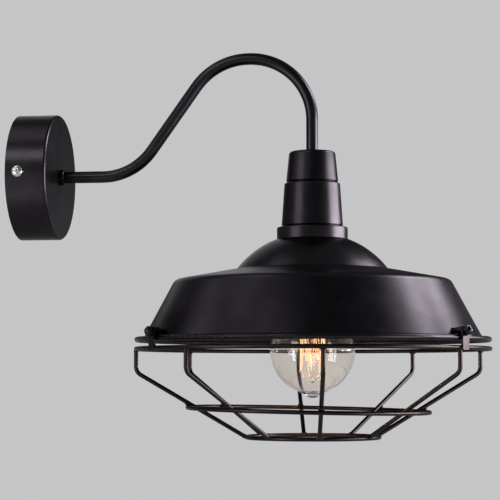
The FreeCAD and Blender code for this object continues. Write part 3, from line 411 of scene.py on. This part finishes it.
def plain(name, colour, other, clouds, gloss, roughness, grain, relief, metallic=0,
          shares=COLOUR_SHARES, coat=None):
    """A cloudy colour, an uneven gloss and a fine grain. A coat is a weight and a roughness."""
    finish = Finish(name, colour, metallic)
    finish.vary_colour(finish.noise(*clouds), other, shares)
    finish.vary_roughness(finish.noise(*gloss), *roughness)
    finish.raise_by(finish.noise(*grain), *relief)
    if coat:
        weight, coat_roughness = coat
        finish.set("Coat Weight", weight)
        finish.set("Coat Roughness", coat_roughness)
    return finish.material


PLASTIC = dict(clouds=(70, 4), gloss=(260, 3), roughness=(0.38, 0.56), grain=(1800, 2),
               relief=(0.00002, 0.4))
PLAIN_FINISHES = {
    "screw_steel": dict(
        colour=(0.72, 0.72, 0.71), other=(0.58, 0.58, 0.58), metallic=1, clouds=(300, 3),
        gloss=(500, 4), roughness=(0.16, 0.34), grain=(1200, 3), relief=(0.00002, 0.3)),
    "brass": dict(
        colour=(0.72, 0.54, 0.26), other=(0.50, 0.36, 0.16), metallic=1, clouds=(120, 5),
        gloss=(220, 4), roughness=(0.2, 0.42), grain=(1100, 2), relief=(0.00002, 0.3)),
    "nickel_wire": dict(
        colour=(0.55, 0.53, 0.50), other=(0.40, 0.37, 0.33), metallic=1, clouds=(400, 3),
        gloss=(500, 2), roughness=(0.2, 0.42), grain=(1500, 2), relief=(0.00001, 0.3)),
    "porcelain": dict(
        colour=(0.84, 0.83, 0.79), other=(0.78, 0.76, 0.71), clouds=(160, 6),
        shares=(0.45, 0.75), gloss=(90, 3), roughness=(0.12, 0.24), grain=(260, 2),
        relief=(0.00006, 0.3), coat=(0.6, 0.08)),
    "black_glass": dict(
        colour=(0.02, 0.02, 0.026), other=(0.05, 0.04, 0.05), clouds=(400, 3),
        gloss=(300, 3), roughness=(0.08, 0.25), grain=(500, 2), relief=(0.00003, 0.3)),
    "block_plastic": dict(PLASTIC, colour=(0.80, 0.80, 0.76), other=(0.72, 0.71, 0.66)),
    "live_cover": dict(PLASTIC, colour=(0.12, 0.045, 0.02), other=(0.16, 0.07, 0.03)),
    "neutral_cover": dict(PLASTIC, colour=(0.02, 0.08, 0.36), other=(0.03, 0.12, 0.42)),
}

ZINC = (0.60, 0.60, 0.59)
ZINC_SPANGLE_DARK = (0.48, 0.48, 0.49)
ZINC_CELLS = 260
ZINC_SHARES = (0.1, 0.6)
ZINC_GLOSS, ZINC_ROUGHNESS = (180, 4), (0.26, 0.44)
ZINC_GRAIN, ZINC_RELIEF = (900, 3), (0.00002, 0.4)
ZINC_STRETCH = (1, 1, 6)


def zinc():
    finish = Finish("zinc_plate", ZINC, metallic=1)
    finish.vary_colour(finish.cells(ZINC_CELLS), ZINC_SPANGLE_DARK, ZINC_SHARES)
    finish.vary_roughness(finish.noise(*ZINC_GLOSS), *ZINC_ROUGHNESS)
    grain = finish.noise(*ZINC_GRAIN, finish.stretched_place(ZINC_STRETCH))
    finish.raise_by(grain, *ZINC_RELIEF)
    return finish.material


GLASS = (1.0, 0.965, 0.915)
GLASS_DEEP = (1.0, 0.95, 0.89)
GLASS_CLOUDS = (30, 2)
GLASS_WAVES, GLASS_RELIEF = (45, 1), (0.0002, 0.12)
GLASS_IOR = 1.46


def clear_glass():
    """Thin blown glass with a faint warm tint and slight waves."""
    finish = Finish("clear_glass", GLASS)
    finish.set("Roughness", 0)
    finish.set("Transmission Weight", 1)
    finish.set("IOR", GLASS_IOR)
    finish.vary_colour(finish.noise(*GLASS_CLOUDS), GLASS_DEEP)
    finish.raise_by(finish.noise(*GLASS_WAVES), *GLASS_RELIEF)
    return finish.material


WIRE_DARK = (0.10, 0.07, 0.05)
WIRE_WARM = (1.0, 0.62, 0.30)
WIRE_HOT = (1.0, 0.78, 0.52)
WIRE_CLOUDS = (90, 3)
FILAMENT_GLOW = 0.80


def lit_filament():
    """Dark wire that glows, a little paler where it is hotter."""
    finish = Finish("lit_filament", WIRE_DARK)
    glow = finish.blend(finish.noise(*WIRE_CLOUDS), WIRE_WARM, WIRE_HOT)
    finish.drive("Emission Color", glow)
    finish.set("Emission Strength", FILAMENT_GLOW)
    return finish.material


COVER_GREEN = (0.05, 0.28, 0.05)
COVER_YELLOW = (0.80, 0.66, 0.05)
STRIPE_SCALE, STRIPE_DISTORTION = 60, 0.4
STRIPE_SHARES = (0.47, 0.53)
COVER_GLOSS, COVER_ROUGHNESS = (300, 3), (0.36, 0.5)
COVER_GRAIN, COVER_RELIEF = (1500, 2), (0.00002, 0.3)


def striped_cover():
    """Green wire covering with a yellow stripe wound round it."""
    finish = Finish("earth_cover", COVER_GREEN)
    stripes = finish.stripes(STRIPE_SCALE, STRIPE_DISTORTION)
    finish.vary_colour(stripes, COVER_YELLOW, STRIPE_SHARES)
    finish.vary_roughness(finish.noise(*COVER_GLOSS), *COVER_ROUGHNESS)
    finish.raise_by(finish.noise(*COVER_GRAIN), *COVER_RELIEF)
    return finish.material


def make_materials():
    made = {name: plain(name, **values) for name, values in PLAIN_FINISHES.items()}
    made.update({
        "black_paint": paint("black_paint"),
        "shade_paint": paint("shade_paint", spun=True),
        # The neck's two tiers get painted shade in the groove at their foot.
        "cap_paint_groove_shade": paint("cap_paint_groove_shade", spun=True, shaded_groove_node="neck_cap"),
        "sleeve_paint_groove_shade": paint("sleeve_paint_groove_shade", spun=True, shaded_groove_node="neck_sleeve"),
        "guard_paint": paint("guard_paint", (GUARD_BLACK, GUARD_WORN), GUARD_ROUGHNESS),
        "zinc": zinc(),
        "clear_glass": clear_glass(),
        "lit_filament": lit_filament(),
        "earth_cover": striped_cover(),
    })
    return made


materials = make_materials()

# Nodes whose finish differs from the plain one of their slot.
OWN_FINISH = {
    "shade": "shade_paint", "neck_cap": "cap_paint_groove_shade", "neck_sleeve": "sleeve_paint_groove_shade",
    "shade_collar": "shade_paint", "canopy_screws": "screw_steel",
}


def dress_nodes():
    for part in frame["record"]["subparts"]:
        node = part["node"]
        usual = "guard_paint" if node.startswith("cage_") else part["material_slot"]
        material = materials[OWN_FINISH.get(node, usual)]
        slots = nodes[node].data.materials
        if not slots:
            slots.append(material)
        for index in range(len(slots)):
            slots[index] = material


# ---- mesh helpers -----------------------------------------------------------------------

def piece(name, points, faces, material, body):
    """A smooth mesh with a finish and a slot, which rides on a body."""
    mesh = bpy.data.meshes.new(name)
    mesh.from_pydata([tuple(point) for point in points], [], faces)
    shape = bmesh.new()
    shape.from_mesh(mesh)
    bmesh.ops.recalc_face_normals(shape, faces=shape.faces)
    shape.to_mesh(mesh)
    shape.free()
    for face in mesh.polygons:
        face.use_smooth = True
    mesh.materials.append(materials[material])
    made = add_object(name, mesh)
    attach(made, body)
    return made


def grid_faces(rows, columns, first=0):
    """Quads between rows of points, each row closed on itself."""
    faces = []
    for row in range(rows - 1):
        for column in range(columns):
            after = (column + 1) % columns
            here = first + row * columns
            faces.append((here + column, here + after, here + columns + after,
                          here + columns + column))
    return faces


def rope(path, radius, sides, points, faces):
    """Add a round tube along a path of points, with closed ends."""
    first = len(points)
    side = None
    for index, spot in enumerate(path):
        ahead = path[min(index + 1, len(path) - 1)]
        behind = path[max(index - 1, 0)]
        along = (ahead - behind).normalized()
        if side is None:
            side = along.orthogonal().normalized()
        side = (side - along * side.dot(along)).normalized()
        across = along.cross(side)
        for step in range(sides):
            angle = math.tau * step / sides
            points.append(spot + (side * math.cos(angle) + across * math.sin(angle)) * radius)
    faces += grid_faces(len(path), sides, first)
    last = first + (len(path) - 1) * sides
    faces.append(tuple(range(first + sides - 1, first - 1, -1)))
    faces.append(tuple(range(last, last + sides)))


def bend(before, corner, after, steps):
    """Points on a smooth curve from before to after that turns at the corner."""
    found = []
    for step in range(steps + 1):
        share = step / steps
        found.append(before.lerp(corner, share).lerp(corner.lerp(after, share), share))
    return found


# ---- bulb -------------------------------------------------------------------------------

HOOKS = 7  # at the top of the filament, and as many at its foot, half a step further round
HOOK_TOP_RADIUS = 0.0110
HOOK_LOW_RADIUS = 0.0125
HOOK_GAP = 0.0011
COIL_RADIUS = 0.00044
COIL_WIRE = 0.00016
COIL_PITCH = 0.00085
COIL_STEPS = 7
COIL_SIDES = 4
WIRE_SIDES = 6
TURN_STEPS = 8


def hook_angle(index, offset):
    return math.tau * (index + offset) / HOOKS


def coil(start, end, points, faces):
    """A tightly wound wire from one hook to the next."""
    along = (end - start).normalized()
    side = along.orthogonal().normalized()
    across = along.cross(side)
    turns = (end - start).length / COIL_PITCH
    count = int(turns * COIL_STEPS)
    path = []
    for step in range(count + 1):
        angle = math.tau * turns * step / count
        swing = side * math.cos(angle) + across * math.sin(angle)
        path.append(start.lerp(end, step / count) + swing * COIL_RADIUS)
    rope(path, COIL_WIRE, COIL_SIDES, points, faces)


def make_filament():
    """Coiled strands up and down between the hooks, with a plain turn over each hook."""
    low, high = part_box("bulb_filament")
    tops = [polar(HOOK_TOP_RADIUS, hook_angle(index, 0), high.z) for index in range(HOOKS)]
    feet = [polar(HOOK_LOW_RADIUS, hook_angle(index, 0.5), low.z) for index in range(HOOKS)]
    points, faces = [], []
    for index, top in enumerate(tops):
        for foot in (feet[index], feet[index - 1]):
            gap = (foot - top).normalized() * HOOK_GAP
            coil(top + gap, foot - gap, points, faces)
    for spots, others, neighbour in ((tops, feet, -1), (feet, tops, 1)):
        for index, spot in enumerate(spots):
            left = others[index]
            right = others[(index + neighbour) % HOOKS]
            before = spot + (left - spot).normalized() * HOOK_GAP
            after = spot + (right - spot).normalized() * HOOK_GAP
            corner = spot * 2 - (before + after) / 2
            rope(bend(before, corner, after, TURN_STEPS), COIL_WIRE * 2, WIRE_SIDES, points,
                 faces)
    made = piece("filament_coils", points, faces, "lit_filament", "bulb")
    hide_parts("bulb_filament")


HOOK_WIRE = 0.00030
HOOK_STEPS = 12
HOOK_LOOP = 0.0009
LOOP_STEPS = 16
TOP_ROOT_RADIUS = 0.0015
TOP_ROOT_RISE = 0.0035
LOW_ROOT_RADIUS = 0.0028
STEM_BUTTON_MIDDLE = 0.0033
KNEE_OUT = 0.86
KNEE_DROP = 0.12


def hook_loop(centre, out, points, faces):
    """The small loop at a hook's end, upright and facing along the wire it holds."""
    path = []
    for step in range(LOOP_STEPS - 1):
        angle = math.tau * step / LOOP_STEPS - math.pi / 2
        path.append(centre + (out * math.cos(angle) + UP * math.sin(angle)) * HOOK_LOOP)
    rope(path, HOOK_WIRE, WIRE_SIDES, points, faces)


def make_hooks():
    """Wires that go out from the stem, above the filament and from the stem's end."""
    low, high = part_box("bulb_filament")
    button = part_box("bulb_stem")[0].z + STEM_BUTTON_MIDDLE
    points, faces = [], []
    for index in range(HOOKS):
        for offset, root_radius, root_level, radius, level in (
                (0, TOP_ROOT_RADIUS, high.z + TOP_ROOT_RISE, HOOK_TOP_RADIUS, high.z),
                (0.5, LOW_ROOT_RADIUS, button, HOOK_LOW_RADIUS, low.z)):
            angle = hook_angle(index, offset)
            root = polar(root_radius, angle, root_level)
            knee = polar(radius * KNEE_OUT, angle,
                         root_level + (level - root_level) * KNEE_DROP)
            tip = polar(radius - HOOK_LOOP, angle, level)
            rope(bend(root, knee, tip, HOOK_STEPS), HOOK_WIRE, WIRE_SIDES, points, faces)
            hook_loop(polar(radius, angle, level), outward(angle), points, faces)
    made = piece("filament_hooks", points, faces, "nickel_wire", "bulb")
    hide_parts("bulb_supports")


THREAD_PITCH = 0.00363
THREAD_DEPTH = 0.0008
THREAD_STEPS = 64
LEVELS_PER_TURN = 12
CAP_WALL = 0.0004
CAP_EDGE = 0.0105
CAP_SLOPE = 1.35


def make_cap_thread():
    """The thin rolled shell of the bulb's cap, with a round thread and a sloped upper edge."""
    low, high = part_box("bulb_cap")
    crest = radius_of("bulb_cap")
    count = int((high.z - low.z) / THREAD_PITCH * LEVELS_PER_TURN)
    outside, inside = [], []
    for level in range(count + 1):
        z = low.z + (high.z - low.z) * level / count
        envelope = min(crest, CAP_EDGE + (high.z - z) * CAP_SLOPE)
        fade = min(1, (z - low.z) / THREAD_PITCH, (high.z - z) / THREAD_PITCH)
        for step in range(THREAD_STEPS):
            share = step / THREAD_STEPS
            wave = (1 + math.cos(math.tau * (z / THREAD_PITCH - share))) / 2
            radius = envelope - THREAD_DEPTH * (1 - wave) * fade
            outside.append(polar(radius, math.tau * share, z))
            inside.append(polar(radius - CAP_WALL, math.tau * share, z))
    rows = count + 1
    faces = grid_faces(rows, THREAD_STEPS)
    faces += grid_faces(rows, THREAD_STEPS, len(outside))
    for row in (0, rows - 1):
        for step in range(THREAD_STEPS):
            here = row * THREAD_STEPS + step
            after = row * THREAD_STEPS + (step + 1) % THREAD_STEPS
            faces.append((here, after, len(outside) + after, len(outside) + here))
    made = piece("bulb_cap_thread", outside + inside, faces, "brass", "bulb")
    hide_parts("bulb_cap")


GLOW_COLOUR = (1.0, 0.50, 0.22)
GLOW_POWER = 0.6
GLOW_RADIUS = 0.009


def make_glow():
    """The light that the filament gives, which reaches the guard and the shade's inside."""
    data = bpy.data.lights.new("bulb_glow", "POINT")
    data.color = GLOW_COLOUR
    data.energy = GLOW_POWER
    data.shadow_soft_size = GLOW_RADIUS
    lamp = add_object("bulb_glow", data)
    lamp.location = middle("bulb_filament")
    lamp.visible_camera = False
    lamp.visible_transmission = False
    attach(lamp, "bulb")


def open_to_light():
    """The clear glass throws no shadow, so the filament's light gets out."""
    for name in ("bulb_glass", "bulb_stem"):
        nodes[name].visible_shadow = False


# ---- welds of the guard -----------------------------------------------------------------

WELD_SIZE = 0.0029
WELD_LUMPS = 900
WELD_LUMP_SHARE = 0.16
WELD_SUBDIVISIONS = 3

# Half widths of the beads along their three axes, as shares of WELD_SIZE.
HEAD_WELD = (1.15, 0.8, 0.5)
MIDDLE_WELD = (1, 1, 0.4)
FOOT_WELD = (1.1, 0.8, 0.5)
CLIP_WELD = (0.7, 0.45, 0.55)

GUARD_BEND_DROP = 0.0215
HEAD_REACH = 0.0001
FOOT_REACH = 0.0030
HALVINGS = 30
CLIP_HALF_WIDTH = 0.005
CLIP_WELD_OUT = 0.75


def weld(points, faces, centre, axes, shares):
    """Add a small lumpy bead with its three half widths along three axes."""
    shape = bmesh.new()
    bmesh.ops.create_icosphere(shape, subdivisions=WELD_SUBDIVISIONS, radius=1)
    first = len(points)
    for corner in shape.verts:
        spot = centre.copy()
        for axis, share, reach in zip(axes, shares, corner.co):
            spot += axis * (WELD_SIZE * share) * reach
        lump = 1 + WELD_LUMP_SHARE * noise.noise(spot * WELD_LUMPS)
        points.append(centre + (spot - centre) * lump)
    for face in shape.faces:
        faces.append(tuple(first + corner.index for corner in face.verts))
    shape.free()


def end_of(name, distance, reach):
    """The middle of a rib's end: its points whose distance is within reach of the least."""
    spots = [corner.co.copy() for corner in nodes[name].data.vertices]
    least = min(distance(spot) for spot in spots)
    near = [spot for spot in spots if distance(spot) < least + reach]
    low = Vector(min(spot[axis] for spot in near) for axis in range(3))
    high = Vector(max(spot[axis] for spot in near) for axis in range(3))
    return (low + high) / 2


def rib_line(name, top_level):
    """Where a rib meets the top ring, where its two straight runs would meet, and its end."""
    head = end_of(name, lambda spot: -spot.z, HEAD_REACH)
    foot = end_of(name, lambda spot: (spot - AXIS).xy.length, FOOT_REACH)
    corner = Vector((head.x, head.y, top_level - GUARD_BEND_DROP))
    return head, corner, foot


def ring_level(ring, wire, spot):
    """The height of a leaning ring's middle line over a point of the floor plan."""
    low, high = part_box(ring)
    heart = (low + high) / 2
    lean = ((high.z - low.z) / 2 - wire) / ((high.y - low.y) / 2 - wire)
    return heart.z + lean * (spot.y - heart.y)


def crossing(corner, foot, heart, radius):
    """The point of a rib's lower run that is over a ring of that middle and radius."""
    near, far = 0.0, 1.0
    for _ in range(HALVINGS):
        share = (near + far) / 2
        if (corner.lerp(foot, share) - heart).xy.length > radius:
            near = share
        else:
            far = share
    return corner.lerp(foot, near)


def make_welds():
    """Beads where the ribs meet the three rings and where the clips meet the top one."""
    top_low, top_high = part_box("cage_top_ring")
    wire = (top_high.z - top_low.z) / 2
    top_level = (top_high.z + top_low.z) / 2
    top_radius = radius_of("cage_top_ring") - wire
    mid_radius = radius_of("cage_middle_ring") - wire
    points, faces = [], []
    for name in sorted(name for name in nodes if name.startswith("cage_rib_")):
        head, corner, foot = rib_line(name, top_level)
        out = ((head - AXIS) * Vector((1, 1, 0))).normalized()
        weld(points, faces, head, (UP.cross(out), out, UP), HEAD_WELD)
        along = (corner - foot).normalized()
        round_way = UP.cross(along).normalized()
        away = along.cross(round_way)
        spot = crossing(corner, foot, middle("cage_middle_ring"), mid_radius)
        ring = Vector((spot.x, spot.y, ring_level("cage_middle_ring", wire, spot)))
        weld(points, faces, (spot + ring) / 2, (round_way, along, away), MIDDLE_WELD)
        weld(points, faces, foot, (round_way, away, along), FOOT_WELD)
    for name in sorted(name for name in nodes if name.startswith("cage_tab_")):
        centre = middle(name) - AXIS
        angle = math.atan2(centre.y, centre.x)
        out = outward(angle)
        round_way = UP.cross(out)
        edge = polar(top_radius + wire * CLIP_WELD_OUT, angle, top_level)
        for side in (-1, 1):
            weld(points, faces, edge + round_way * side * CLIP_HALF_WIDTH,
                 (round_way, out, UP), CLIP_WELD)
    piece("guard_welds", points, faces, "guard_paint", "guard")


# ---- the whole scene --------------------------------------------------------------------

make_camera()
make_world()
make_softboxes()
make_floor()
dress_nodes()
make_filament()
make_hooks()
make_cap_thread()
make_welds()
make_glow()
open_to_light()
bpy.context.scene.view_settings.view_transform = "Standard"
